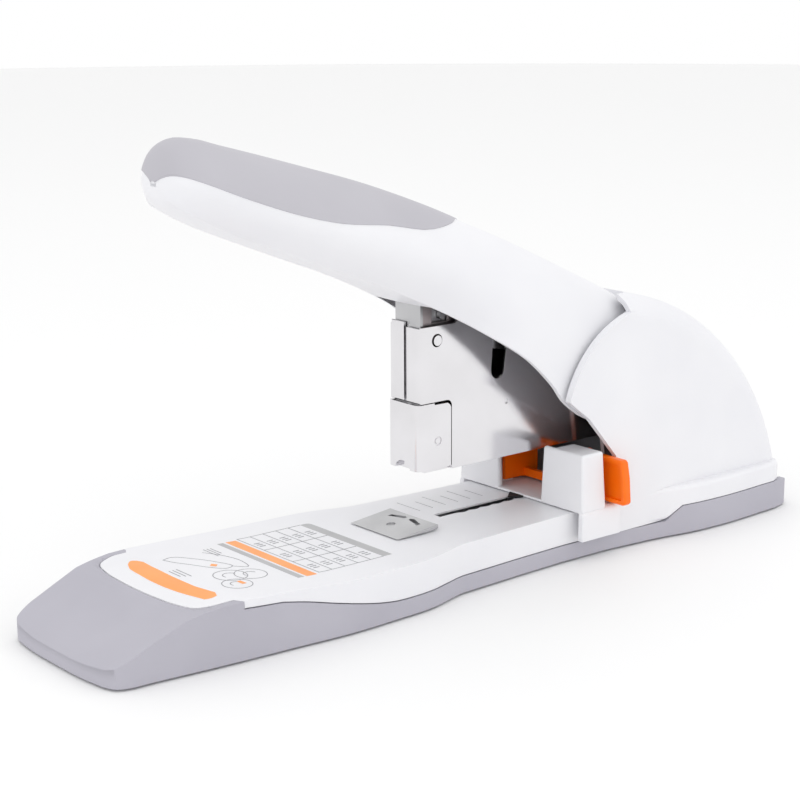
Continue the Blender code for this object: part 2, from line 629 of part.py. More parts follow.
def make_guide():
    saddle = [(-30.9, 7.5), (-30.9, 16.2), (-29.4, GUIDE_TOP), (29.4, GUIDE_TOP), (30.9, 16.2),
              (30.9, 7.5), (28.7, 7.5), (28.7, 17.1), (-28.7, 17.1), (-28.7, 7.5)]
    guide = slab("paper_guide", "white", [saddle], GUIDE_FRONT, GUIDE_REAR, "X")
    back = GUIDE_FRONT + TOWER_DEPTH
    for side, sign in (("near", -1), ("far", 1)):
        plan = [(GUIDE_FRONT, 10.3), (183.2, 10.3), (183.2, 14.6), (back, 14.6), (back, 29.6),
                (GUIDE_FRONT, 29.6)]
        tower = slab(f"tower_{side}", None, [[(x, sign * y) for x, y in plan]], 17.5, TOWER_TOP,
                     "Z")
        boolean(guide, tower, "UNION")
    foot = block("guide_foot", "grey", (184.5, -0.4, 12.6), (190.0, 2.4, 16.7))
    boolean(foot, block("foot_flange", None, (184.5, -4.0, 12.6), (190.0, 6.0, 14.6)), "UNION")
    arrow = [(176.6, 1.0), (180.6, -2.4), (180.6, 4.4)]
    pointer = slab("guide_pointer", "rubber", [arrow], 17.1, 17.7, "Z")
    return [guide, foot, pointer]


def make_release():
    ear = [(13.5, 18.6), (37.0, 18.6), (35.6, 34.0), (13.5, 34.0)]
    front, back = 194.6, 197.8
    grip = block("release_grip", "orange", (front + 0.5, -13.2, 19.2), (back - 0.9, 13.2, 22.0))
    for side, sign in (("near", -1), ("far", 1)):
        wing = slab(f"ear_{side}", None, [[(sign * y, z) for y, z in ear]], front, back, "X")
        boolean(grip, wing, "UNION")
        low, high = sorted((sign * 12.8, sign * 14.2))
        web = block(f"web_{side}", None, (185.9, low, 18.9), (WEB_REAR, high, 33.4))
        boolean(grip, web, "UNION")
    return grip


# ---------------------------------------------------------------- assembly

def build():
    make_tray()
    make_cover()
    make_base_inside()
    make_feet_and_screws()
    make_housing()
    make_bracket()
    coil("lift_spring", (232.0, 0, 0), 4.5, 1.2, 6, 7.2, 34.2)
    coil("handle_spring", (HANDLE_PIVOT[0], 0, HANDLE_PIVOT[1]), 5.6, 1.3, 3, 16.6, 21.0, "Y")
    pin = (HANDLE_PIVOT[0], 0, HANDLE_PIVOT[1])
    hang([make_handle_shell(), make_pad()] + make_handle_inside(), "handle_pivot", pin)
    head = hang(make_head(), "head_pivot", (HEAD_PIVOT[0], 0, HEAD_PIVOT[1]))
    lever, driver = make_drive()
    hang(lever, "lever_pivot", (LEVER_PIVOT[0], 0, LEVER_PIVOT[1]), head)
    hang(driver, "driver_slide", (133.0, 0, 66.0), head)
    hang([make_follower()], "follower_slide", (174.5, 0, 36.4), head)
    coil("follower_spring", (0.0 + LENGTH / 2, 0, 50.2), 2.2, 0.6, 9, 183.6 - LENGTH / 2,
         202.6 - LENGTH / 2, "X", 10)
    guide = hang(make_guide(), "guide_slide", (GUIDE_FRONT, 0, 17.1))
    hang([make_release()], "release_slide", (194.6, 0, 18.6), guide)
    coil("release_spring", (LENGTH / 2, 22.0, 26.0), 2.2, 0.5, 3, 192.2 - LENGTH / 2,
         194.2 - LENGTH / 2, "X", 10)


build()
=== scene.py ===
import json
import math

import bmesh
import bpy
from mathutils import Matrix, Vector


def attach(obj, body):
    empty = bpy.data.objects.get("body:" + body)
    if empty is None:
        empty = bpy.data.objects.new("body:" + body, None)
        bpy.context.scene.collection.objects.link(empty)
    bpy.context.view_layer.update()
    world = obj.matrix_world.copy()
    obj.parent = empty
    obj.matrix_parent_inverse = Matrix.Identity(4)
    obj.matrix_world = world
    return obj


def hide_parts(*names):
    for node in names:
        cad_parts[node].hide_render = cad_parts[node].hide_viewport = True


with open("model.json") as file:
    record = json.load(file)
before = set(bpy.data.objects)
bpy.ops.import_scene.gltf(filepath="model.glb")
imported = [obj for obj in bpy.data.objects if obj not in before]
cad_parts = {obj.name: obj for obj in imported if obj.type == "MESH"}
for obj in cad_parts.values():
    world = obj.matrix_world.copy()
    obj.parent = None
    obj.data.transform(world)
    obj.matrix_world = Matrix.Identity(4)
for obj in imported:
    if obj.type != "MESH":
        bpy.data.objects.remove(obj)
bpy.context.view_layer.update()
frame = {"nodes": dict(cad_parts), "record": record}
print("frame loaded")

# stations are millimetres back from the nose; the frame's origin is under the middle
bodyLength = 292.0
handlePivot = (213.8, 44.5)


def spot(station, y, z):
    return Vector(((station - bodyLength / 2) / 1000, y / 1000, z / 1000))


# ---- building tools

def meshObject(name, bm, angle=35):
    mesh = bpy.data.meshes.new(name)
    bm.to_mesh(mesh)
    bm.free()
    mesh.shade_smooth()
    mesh.set_sharp_from_angle(angle=math.radians(angle))
    thing = bpy.data.objects.new(name, mesh)
    bpy.context.scene.collection.objects.link(thing)
    return thing


def ringVerts(bm, points):
    verts = [bm.verts.new(p) for p in points]
    edges = [bm.edges.new((a, b)) for a, b in zip(verts, verts[1:] + verts[:1])]
    return verts, edges


# closed rings of equal count joined one to the next, with flat ends
def loftRings(bm, rings):
    made = [ringVerts(bm, ring) for ring in rings]
    for (vertsA, edgesA), (vertsB, edgesB) in zip(made, made[1:]):
        bmesh.ops.bridge_loops(bm, edges=edgesA + edgesB)
    for verts, edges in (made[0], made[-1]):
        bmesh.ops.contextual_create(bm, geom=edges)
    bmesh.ops.recalc_face_normals(bm, faces=bm.faces)


# flat outline drawn out along an axis: (station, z) for Y, (station, y) for Z, (y, z) for X
def prism(bm, outline, low, high, axis="Y"):
    lift = {"Y": lambda u, v: spot(u, low, v), "Z": lambda u, v: spot(u, v, low),
            "X": lambda u, v: spot(low, u, v)}[axis]
    move = {"Y": (0, 1, 0), "Z": (0, 0, 1), "X": (1, 0, 0)}[axis]
    verts, edges = ringVerts(bm, [lift(u, v) for u, v in outline])
    face = bmesh.ops.contextual_create(bm, geom=edges)["faces"][0]
    grown = bmesh.ops.extrude_face_region(bm, geom=[face], use_keep_orig=True)["geom"]
    ups = [g for g in grown if isinstance(g, bmesh.types.BMVert)]
    bmesh.ops.translate(bm, verts=ups, vec=Vector(move) * (high - low) / 1000)
    bmesh.ops.recalc_face_normals(bm, faces=bm.faces)


def prismObject(name, outline, low, high, axis="Y"):
    bm = bmesh.new()
    prism(bm, outline, low, high, axis)
    return meshObject(name, bm)


def arcPoints(center, radius, start, stop, count):
    turns = [math.radians(start + (stop - start) * i / (count - 1)) for i in range(count)]
    return [(center[0] + radius * math.cos(t), center[1] + radius * math.sin(t)) for t in turns]


# curve through the points, a few steps to each stretch, its slope weighed by their spacing
def smoothLine(points, steps):
    points = [Vector(p) for p in points]
    spans = [max(Vector((b - a)[:2]).length, 1e-6) for a, b in zip(points, points[1:])]
    last = len(points) - 1
    slopes = []
    for i in range(last + 1):
        before, after = max(i - 1, 0), min(i, last - 1)
        back = (points[before + 1] - points[before]) / spans[before]
        ahead = (points[after + 1] - points[after]) / spans[after]
        share = spans[before] / (spans[before] + spans[after])
        slopes.append(back * (1 - share) + ahead * share)
    line = []
    for i in range(last):
        p1, p2 = points[i], points[i + 1]
        m1, m2 = slopes[i] * spans[i], slopes[i + 1] * spans[i]
        for k in range(steps):
            t = k / steps
            line.append(p1 * (2 * t ** 3 - 3 * t ** 2 + 1) + m1 * (t ** 3 - 2 * t ** 2 + t)
                        + p2 * (3 * t ** 2 - 2 * t ** 3) + m2 * (t ** 3 - t ** 2))
    line.append(points[-1])
    return [tuple(p) for p in line]


# bakes a piece's modifiers into its mesh
def applied(thing):
    bpy.context.view_layer.update()
    seen = thing.evaluated_get(bpy.context.evaluated_depsgraph_get())
    mesh = bpy.data.meshes.new_from_object(seen)
    thing.modifiers.clear()
    thing.data = mesh
    return thing


def carve(thing, tool, operation="DIFFERENCE"):
    change = thing.modifiers.new("carve", "BOOLEAN")
    change.operation = operation
    change.solver = "MANIFOLD"
    change.object = tool
    applied(thing)
    bpy.data.objects.remove(tool, do_unlink=True)
    thing.data.shade_smooth()
    thing.data.set_sharp_from_angle(angle=math.radians(35))
    return thing


def softEdges(thing, width, segments=3, angle=30):
    bevel = thing.modifiers.new("softEdges", "BEVEL")
    bevel.width = width / 1000
    bevel.segments = segments
    bevel.limit_method = "ANGLE"
    bevel.angle_limit = math.radians(angle)
    bevel.harden_normals = True
    return thing


def dress(thing, body, material, replaced=()):
    thing.data.materials.clear()
    thing.data.materials.append(material)
    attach(thing, body)
    if replaced:
        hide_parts(*replaced)
    even = thing.modifiers.new("evenShading", "WEIGHTED_NORMAL")
    even.keep_sharp = True
    return thing


# ---- materials

finishSet = {"bumpDepth": 0.0001, "scatter": (0.002, 0.002, 0.002),
             "plasticBlend": (0.35, 0.65), "steelBlend": (0.3, 0.7)}


def newMaterial(name):
    material = bpy.data.materials.new(name)
    material.use_nodes = True
    nodes, links = material.node_tree.nodes, material.node_tree.links
    coords = nodes.new("ShaderNodeTexCoord")
    return material, nodes, links, nodes["Principled BSDF"], coords.outputs["Object"]


def noiseNode(nodes, links, coords, scale, detail=3.0, stretch=None):
    noise = nodes.new("ShaderNodeTexNoise")
    noise.inputs["Scale"].default_value = scale
    noise.inputs["Detail"].default_value = detail
    if stretch:
        mapping = nodes.new("ShaderNodeMapping")
        mapping.inputs["Scale"].default_value = stretch
        links.new(coords, mapping.inputs["Vector"])
        coords = mapping.outputs["Vector"]
    links.new(coords, noise.inputs["Vector"])
    return noise.outputs["Fac"]


def rangeNode(nodes, links, value, low, high):
    spread = nodes.new("ShaderNodeMapRange")
    spread.inputs["To Min"].default_value = low
    spread.inputs["To Max"].default_value = high
    links.new(value, spread.inputs["Value"])
    return spread.outputs["Result"]


def twoTone(nodes, links, value, colors, places):
    ramp = nodes.new("ShaderNodeValToRGB")
    for stop, color, place in zip(ramp.color_ramp.elements, colors, places):
        stop.color = (*color, 1)
        stop.position = place
    links.new(value, ramp.inputs["Fac"])
    return ramp.outputs["Color"]


# faint colour drift, fine spark-eroded grain, uneven gloss
def mouldedPlastic(name, settings):
    material, nodes, links, shader, coords = newMaterial(name)
    drift = noiseNode(nodes, links, coords, settings["driftScale"], 2.0)
    color = twoTone(nodes, links, drift, settings["colors"], finishSet["plasticBlend"])
    links.new(color, shader.inputs["Base Color"])
    gloss = noiseNode(nodes, links, coords, settings["glossScale"], 4.0)
    low, high = settings["roughness"]
    links.new(rangeNode(nodes, links, gloss, low, high), shader.inputs["Roughness"])
    grain = noiseNode(nodes, links, coords, settings["grainScale"], 5.0)
    bump = nodes.new("ShaderNodeBump")
    bump.inputs["Strength"].default_value = settings["grain"]
    bump.inputs["Distance"].default_value = finishSet["bumpDepth"]
    links.new(grain, bump.inputs["Height"])
    links.new(bump.outputs["Normal"], shader.inputs["Normal"])
    shader.inputs["Specular IOR Level"].default_value = settings["specular"]
    shader.inputs["Subsurface Weight"].default_value = settings.get("subsurface", 0.0)
    shader.inputs["Subsurface Radius"].default_value = finishSet["scatter"]
    return material


# rolling lines along the sheet's length, faint stains in the plating
def platedSteel(name, settings):
    material, nodes, links, shader, coords = newMaterial(name)
    stain = noiseNode(nodes, links, coords, settings["stainScale"], 3.0)
    color = twoTone(nodes, links, stain, settings["colors"], finishSet["steelBlend"])
    links.new(color, shader.inputs["Base Color"])
    lines = noiseNode(nodes, links, coords, settings["lineScale"], 4.0, settings["stretch"])
    low, high = settings["roughness"]
    links.new(rangeNode(nodes, links, lines, low, high), shader.inputs["Roughness"])
    bump = nodes.new("ShaderNodeBump")
    bump.inputs["Strength"].default_value = settings["bump"]
    bump.inputs["Distance"].default_value = finishSet["bumpDepth"]
    links.new(lines, bump.inputs["Height"])
    links.new(bump.outputs["Normal"], shader.inputs["Normal"])
    shader.inputs["Metallic"].default_value = 1.0
    return material


whiteShell = mouldedPlastic("whiteShell", {
    "colors": [(0.80, 0.80, 0.83), (0.83, 0.83, 0.855)], "driftScale": 30, "glossScale": 140,
    "roughness": (0.34, 0.42), "grainScale": 2600, "grain": 0.05, "specular": 0.5,
    "subsurface": 0.05})
greyShell = mouldedPlastic("greyShell", {
    "colors": [(0.435, 0.425, 0.48), (0.465, 0.455, 0.51)], "driftScale": 26, "glossScale": 160,
    "roughness": (0.5, 0.62), "grainScale": 2200, "grain": 0.22, "specular": 0.4})
softGrip = mouldedPlastic("softGrip", {
    "colors": [(0.47, 0.46, 0.50), (0.50, 0.49, 0.53)], "driftScale": 22, "glossScale": 120,
    "roughness": (0.46, 0.58), "grainScale": 1800, "grain": 0.18, "specular": 0.42})
orangeShell = mouldedPlastic("orangeShell", {
    "colors": [(1.0, 0.15, 0.0005), (1.0, 0.18, 0.001)], "driftScale": 60, "glossScale": 200,
    "roughness": (0.3, 0.4), "grainScale": 2400, "grain": 0.06, "specular": 0.35})
blackRubber = mouldedPlastic("blackRubber", {
    "colors": [(0.012, 0.012, 0.013), (0.02, 0.02, 0.021)], "driftScale": 60, "glossScale": 200,
    "roughness": (0.6, 0.75), "grainScale": 1600, "grain": 0.3, "specular": 0.3})
brightPlate = platedSteel("brightPlate", {
    "colors": [(0.73, 0.72, 0.735), (0.80, 0.79, 0.81)], "stainScale": 45, "lineScale": 260,
    "stretch": (1, 6, 9), "roughness": (0.10, 0.2), "bump": 0.05})
zincSteel = platedSteel("zincSteel", {
    "colors": [(0.48, 0.48, 0.49), (0.58, 0.58, 0.59)], "stainScale": 60, "lineScale": 300,
    "stretch": (1, 8, 8), "roughness": (0.24, 0.38), "bump": 0.12})
darkSteel = platedSteel("darkSteel", {
    "colors": [(0.40, 0.35, 0.355), (0.50, 0.45, 0.455)], "stainScale": 50, "lineScale": 300,
    "stretch": (1, 8, 8), "roughness": (0.3, 0.42), "bump": 0.1})
slotMaterials = {"white_plastic": whiteShell, "grey_plastic": greyShell,
                 "orange_plastic": orangeShell, "chrome": brightPlate, "steel": zincSteel,
                 "rubber": blackRubber}
for part in frame["record"]["subparts"]:
    node = frame["nodes"][part["node"]]
    node.data.materials.clear()
    node.data.materials.append(slotMaterials[part["material_slot"]])
print("materials made")


# ---- camera, light and floor

cameraSet = {"azimuth": -39.47, "elevation": 13.21, "distance": 0.6078, "lens": 85.2,
             "roll": -0.29, "target": (-0.0178, 0.0, 0.0589)}


studioSet = {
    "middle": (0.0, 0.0, 0.05), "sky": 1.0, "floorRadius": 3.0, "floorColor": (0.92, 0.92, 0.92, 1),
    "lamps": [("overhead", (-0.1, -0.1, 1.3), (1.8, 1.4), 2.0),
              ("leftSoft", (-1.2, -0.5, 0.6), (1.0, 1.0), 1.6),
              ("rightFill", (0.7, -1.3, 0.7), (1.2, 0.9), 1.5)]}


def placeCamera():
    az, el = math.radians(cameraSet["azimuth"]), math.radians(cameraSet["elevation"])
    back = Vector((math.sin(az) * math.cos(el), -math.cos(az) * math.cos(el), math.sin(el)))
    data = bpy.data.cameras.new("camera")
    data.lens = cameraSet["lens"]
    data.sensor_width = 36
    data.clip_start = 0.01
    camera = bpy.data.objects.new("camera", data)
    camera.location = Vector(cameraSet["target"]) + back * cameraSet["distance"]
    turn = back.to_track_quat("Z", "Y").to_matrix()
    roll = Matrix.Rotation(math.radians(cameraSet["roll"]), 3, "Z")
    camera.rotation_euler = (turn @ roll).to_euler()
    bpy.context.scene.collection.objects.link(camera)
    bpy.context.scene.camera = camera


def addLight(name, location, size, power):
    data = bpy.data.lights.new(name, "AREA")
    data.shape = "RECTANGLE"
    data.size, data.size_y = size
    data.energy = power
    lamp = bpy.data.objects.new(name, data)
    lamp.location = location
    away = Vector(location) - Vector(studioSet["middle"])
    lamp.rotation_euler = away.to_track_quat("Z", "Y").to_euler()
    bpy.context.scene.collection.objects.link(lamp)


def makeStudio():
    placeCamera()
    bpy.context.scene.view_settings.view_transform = "Standard"
    for lamp in studioSet["lamps"]:
        addLight(*lamp)
    world = bpy.data.worlds.new("studio")
    bpy.context.scene.world = world
    world.use_nodes = True
    back = world.node_tree.nodes["Background"]
    back.inputs["Color"].default_value = (1.0, 1.0, 1.0, 1)
    back.inputs["Strength"].default_value = studioSet["sky"]
    bm = bmesh.new()
    bmesh.ops.create_circle(bm, cap_ends=True, segments=96,
                             radius=studioSet["floorRadius"])
    floor = meshObject("floor", bm)
    material, nodes, links, shader, coords = newMaterial("paleFloor")
    links.new(rangeNode(nodes, links, noiseNode(nodes, links, coords, 40), 0.55, 0.65),
              shader.inputs["Roughness"])
    shader.inputs["Base Color"].default_value = studioSet["floorColor"]
    shader.inputs["Specular IOR Level"].default_value = 0.2
    floor.data.materials.append(material)


makeStudio()
print("studio ready")


# ---- handle

# the arch's power rises to hubArch over the hubRise ridge stations; sides lean in past leanFrom
# degrees from the ridge; padEnd is the pad's point and underEnd the panel's, along the spine
handleSet = {"wall": 2.2, "tipWall": 2.9, "arch": 2.15, "hubArch": 4.5, "hubRise": (150, 205),
             "leanFrom": 60, "around": 36, "steps": 4, "padEnd": 11, "padLead": (0.3, 14),
             "hubRadius": 34.0, "hubWalls": (-24.8, 22.8), "hubWall": 2.0,
             "underInset": 0.6, "underSag": 0.3, "underThick": 1.4,
             "padProud": 0.3, "padDepth": 1.2, "skin": 0.5, "underEnd": 38}
# ridge station and height, lower edge station and height, half width, share of it that
# the lower edge is drawn in by, and the pad's half angle
handleSpine = [
    (38.3, 137.6, 38.3, 134.6, 3.0, 0.2, 42.0), (39.5, 142.6, 39.5, 131.0, 9.0, 0.3, 51.0),
    (41.6, 146.0, 42.0, 128.4, 13.5, 0.35, 58.0), (45.6, 147.9, 46.4, 126.0, 17.2, 0.4, 63.5),
    (51.0, 147.6, 52.0, 123.0, 19.8, 0.45, 65.5), (59.5, 145.3, 60.0, 119.3, 21.4, 0.45, 66.0),
    (72.0, 141.9, 74.0, 113.7, 22.6, 0.45, 66.0), (90.0, 136.8, 90.5, 107.2, 23.4, 0.45, 62.5),
    (109.0, 131.3, 107.0, 100.9, 24.0, 0.45, 54.0), (129.0, 124.4, 127.0, 92.0, 24.4, 0.4, 43.0),
    (140.5, 120.0, 138.0, 86.4, 24.6, 0.3, 27.0), (151.0, 115.6, 149.0, 79.8, 24.8, 0.15, 3.0),
    (166.0, 109.0, 162.0, 71.0, 25.0, 0.0, 0.0), (181.0, 101.8, 172.5, 61.5, 25.0, 0.0, 0.0),
    (197.0, 94.0, 180.0, 53.0, 25.0, 0.0, 0.0), (211.0, 87.0, 192.3, 46.5, 25.0, 0.0, 0.0),
    (221.0, 81.6, 205.0, 48.0, 25.0, 0.0, 0.0), (228.2, 79.0, 215.0, 56.0, 25.0, 0.0, 0.0),
    (237.0, 73.0, 225.0, 54.0, 25.0, 0.0, 0.0)]


def crownPoint(station, degrees, sink):
    ridgeX, ridgeZ, edgeX, edgeZ, half, tuck, _ = station
    first, last = handleSet["hubRise"]
    rise = min(max((ridgeX - first) / (last - first), 0), 1)
    power = 2 / (handleSet["arch"] + (handleSet["hubArch"] - handleSet["arch"]) * rise)
    turn = math.radians(90 - abs(degrees))
    across = math.copysign(abs(math.cos(turn)) ** power, degrees)
    lean = max(abs(degrees) - handleSet["leanFrom"], 0) / (90 - handleSet["leanFrom"])
    across *= 1 - max(tuck, 0) * lean ** 2
    drop = 1 - abs(math.sin(turn)) ** power
    start, end = Vector((ridgeX, ridgeZ)), Vector((edgeX, edgeZ))
    start += (end - start).normalized() * sink
    point = start + (end - start) * drop
    return spot(point.x, across * (half - sink), point.y)


def archRing(station, spread, outer, inner, count):
    turns = [spread * (2 * i / count - 1) for i in range(count + 1)]
    return ([crownPoint(station, t, outer) for t in turns]
            + [crownPoint(station, t, inner) for t in reversed(turns)])


def makeHandle():
    line = smoothLine(handleSpine, handleSet["steps"])
    skin, around = handleSet["skin"], handleSet["around"]
    bm = bmesh.new()
    walls = [handleSet["tipWall"]] + [handleSet["wall"]] * (len(line) - 1)
    loftRings(bm, [archRing(s, 90, skin, wall, around) for s, wall in zip(line, walls)])
    shell = meshObject("handleShell", bm, 50)
    hub = (arcPoints(handlePivot, handleSet["hubRadius"], -10, 165, 60)
           + [(192.3, 45.5), (206.0, 36.5)])
    for low in handleSet["hubWalls"]:
        carve(shell, prismObject("hubWall", hub, low, low + handleSet["hubWall"]), "UNION")
    shell.data.shade_smooth()
    shell.data.set_sharp_from_angle(angle=math.radians(40))
    dress(shell, "handle", whiteShell, ["handle_shell"])
    padLine = line[:handleSet["padEnd"] * handleSet["steps"] + 1]
    proud = skin - handleSet["padProud"]
    bm = bmesh.new()
    rings = []
    leadBy, leadRings = handleSet["padLead"]
    for i, s in enumerate(padLine):
        lead = Vector((-leadBy / 1000 * max(1 - i / leadRings, 0), 0, 0))
        ring = archRing(s, max(s[6], 0.5), proud, proud + handleSet["padDepth"], around)
        rings.append([p + lead for p in ring])
    loftRings(bm, rings)
    pad = softEdges(meshObject("handlePad", bm, 50), 0.25, 2, 50)
    dress(pad, "handle", softGrip, ["handle_pad"])
    bm = bmesh.new()
    rings = []
    for station in line[:handleSet["underEnd"]]:
        edge = crownPoint(station, 90, skin)
        half = edge.y - handleSet["underInset"] / 1000
        sag = handleSet["underSag"] / 1000
        low = [(half * (i / 6 - 1), edge.z - sag * (1 - (i / 6 - 1) ** 2)) for i in range(13)]
        high = [(y, z + handleSet["underThick"] / 1000) for y, z in reversed(low)]
        rings.append([Vector((edge.x, y, z)) for y, z in low + high])
    loftRings(bm, rings)
    under = softEdges(meshObject("gripCover", bm, 40), 0.3, 2, 50)
    dress(under, "handle", whiteShell, ["grip_cover"])


makeHandle()
print("handle made")


# ---- rear housing

# each rim is its height, its distance out from the lip and its width
housingSet = {"half": 27.8, "wall": 2.0, "shoulder": 8.5, "center": (193.5, -8.5),
              "radius": 97.0, "front": 168.0, "sweep": (97, 17), "lipRadius": 38.4,
              "lipSweep": (163.4, 102.7), "rims": [(0.9, 2.5, 3.2), (0.45, 12.5, 3.5)],
              "gridStep": 2, "footHigh": 18.0, "footSoft": 1.6}


def domeRing(y, step, low):
    half, soft = housingSet["half"] - step, housingSet["shoulder"] - step
    past = max(abs(y) - (half - soft), 0.0)
    radius = housingSet["radius"] - step - soft + math.sqrt(max(soft ** 2 - past ** 2, 0))
    arc = arcPoints(housingSet["center"], radius, *housingSet["sweep"], 48)
    outline = [(housingSet["front"], low), (housingSet["front"], arc[0][1])] + arc
    return [spot(x, y, z) for x, z in outline + [(arc[-1][0], low)]]


def domeObject(name, step, low):
    half, soft = housingSet["half"] - step, housingSet["shoulder"] - step
    turns = [90 * i / 8 for i in range(9)]
    levels = [half - soft * (1 - math.sin(math.radians(t))) for t in turns]
    bm = bmesh.new()
    loftRings(bm, [domeRing(y, step, low) for y in [-v for v in reversed(levels)] + levels])
    return meshObject(name, bm)


# how far the rim round the lip stands out of the side wall, in mm
def lipSwell(station, z):
    reach = math.hypot(station - handlePivot[0], z - handlePivot[1]) - housingSet["lipRadius"]
    angle = math.degrees(math.atan2(z - handlePivot[1], station - handlePivot[0]))
    fade = min(max((angle - 60) / 45, 0), 1) * min(max((z - 40) / 14, 0), 1)
    return fade * sum(high * math.exp(-((reach - out) / wide) ** 2)
                      for high, out, wide in housingSet["rims"])


def baseRing(inset, first, last):
    line = smoothLine(baseOutline, 4)
    side = []
    for i, (x, y) in enumerate(line):
        before, after = line[max(i - 1, 0)], line[min(i + 1, len(line) - 1)]
        run = Vector((after[0] - before[0], after[1] - before[1]))
        if i in (0, len(line) - 1):
            run = Vector((0.0, 1.0 if i == 0 else -1.0))
        run.normalize()
        side.append((x + run.y * inset, max(y - run.x * inset, 0.0)))
    kept = [p for p in side if first < p[0] < last]
    if first > side[0][0]:
        kept.insert(0, (first, widthAt(side, first)))
    if last < side[-1][0]:
        kept.append((last, widthAt(side, last)))
    return kept + [(x, -y) for x, y in reversed(kept) if y > 1e-6]


def widthAt(line, station):
    for (x0, y0), (x1, y1) in zip(line, line[1:]):
        if x0 <= station <= x1 and x1 > x0:
            return y0 + (y1 - y0) * (station - x0) / (x1 - x0)
    return line[-1][1]


baseOutline = [(0.0, 0.0), (0.2, 13.0), (0.9, 20.0), (1.9, 25.5), (3.3, 28.0), (5.8, 29.2),
               (14.0, 30.0), (41.5, 32.4), (62.0, 33.6), (76.0, 34.6), (84.0, 34.8),
               (97.0, 34.2), (115.0, 32.8), (124.0, 30.2), (130.0, 28.6), (135.0, 28.3),
               (218.0, 28.3), (224.0, 29.2), (234.0, 31.0), (250.0, 32.0), (270.0, 31.2),
               (284.0, 29.8), (288.5, 28.0), (290.8, 24.5), (292.0, 17.0), (292.0, 0.0)]


def makeHousing():
    housing = domeObject("rearHousing", 0.0, -4.0)
    half = [p for p in baseRing(0.15, 200.0, 279.0) if p[1] > 0]
    half += [(282.4, 29.2), (284.6, 27.2), (285.8, 23.4), (286.4, 17.0), (286.4, 8.0)]
    ring = half + [(x, -y) for x, y in reversed(half)]
    foot = prismObject("foot", ring, 6.5, housingSet["footHigh"], "Z")
    softEdges(foot, housingSet["footSoft"], 4, 40)
    applied(foot)
    carve(housing, foot, "UNION")
    below = [(150.0, -9.0), (150.0, 6.5), (222.5, 6.5), (230.5, 11.1), (297.0, 11.1),
             (297.0, -9.0)]
    carve(housing, prismObject("below", below, -60, 60))
    carve(housing, domeObject("hollow", housingSet["wall"], -9.0))
    carve(housing, prismObject("footHollow", baseRing(2.05, 202.2, 284.3), -2.0, 15.8, "Z"))
    bm = bmesh.new()
    bm.from_mesh(housing.data)
    for axis, low, high in (((1, 0, 0), 174, 246), ((0, 0, 1), 42, 92)):
        for step in range(low, high, housingSet["gridStep"]):
            at = spot(step, 0, 0) if axis[0] else spot(0, 0, step)
            bmesh.ops.bisect_plane(bm, geom=bm.verts[:] + bm.edges[:] + bm.faces[:], dist=1e-7,
                                   plane_co=at, plane_no=axis)
    for vert in bm.verts:
        if abs(vert.co.y) > 0.0272 and vert.co.z > 0.03:
            swell = lipSwell(vert.co.x * 1000 + bodyLength / 2, vert.co.z * 1000)
            vert.co.y += math.copysign(swell / 1000, vert.co.y)
    bm.to_mesh(housing.data)
    bm.free()
    lip = arcPoints(handlePivot, housingSet["lipRadius"], *housingSet["lipSweep"], 40)
    opening = ([(199.8, -5.0), (199.8, 30.0), (199.4, 33.6), (191.7, 42.4), (186.5, 48.3),
                (181.4, 52.2)] + lip + [(201.0, 100.0), (140.0, 100.0), (140.0, -5.0)])
    carve(housing, prismObject("opening", opening, -60, 60))
    side = smoothLine([(202.0, 22.2), (206.5, 21.2), (211.0, 18.6), (213.8, 13.5), (214.8, 6.0)], 4)
    scoop = [(180.0, 22.2)] + side
    scoop += [(x, -y) for x, y in reversed(scoop)]
    carve(housing, prismObject("scoop", scoop, 79, 100, "Z"))
    housing.data.shade_smooth()
    housing.data.set_sharp_from_angle(angle=math.radians(35))
    dress(housing, "base", whiteShell, ["rear_housing"])


makeHousing()
print("housing made")


# ---- base

# toothed is where the slot's near edge is wavy
baseSet = {"trayEdge": 1.6, "coverEdge": 1.3, "wall": 2.0, "slot": (144.5, 191.5),
           "slotTooth": 0.9, "toothPitch": 5.2, "toothed": (152, 183), "screwHole": 3.8}
coverFront = [(43.8, -29.0), (35.3, -28.6), (31.3, -26.3), (29.2, -19.9), (28.2, -10.0),
              (27.9, 0.0), (28.2, 10.0), (29.2, 19.9), (31.3, 26.3), (35.3, 28.6), (43.8, 29.0)]
deckLine = [(27.0, 17.3), (32.0, 17.9), (37.5, 18.45), (45.0, 18.6), (59.5, 18.0), (70.0, 17.4),
            (81.5, 16.85), (90.0, 16.8), (201.0, 16.8)]


def deckAt(station):
    return widthAt(deckLine, station)


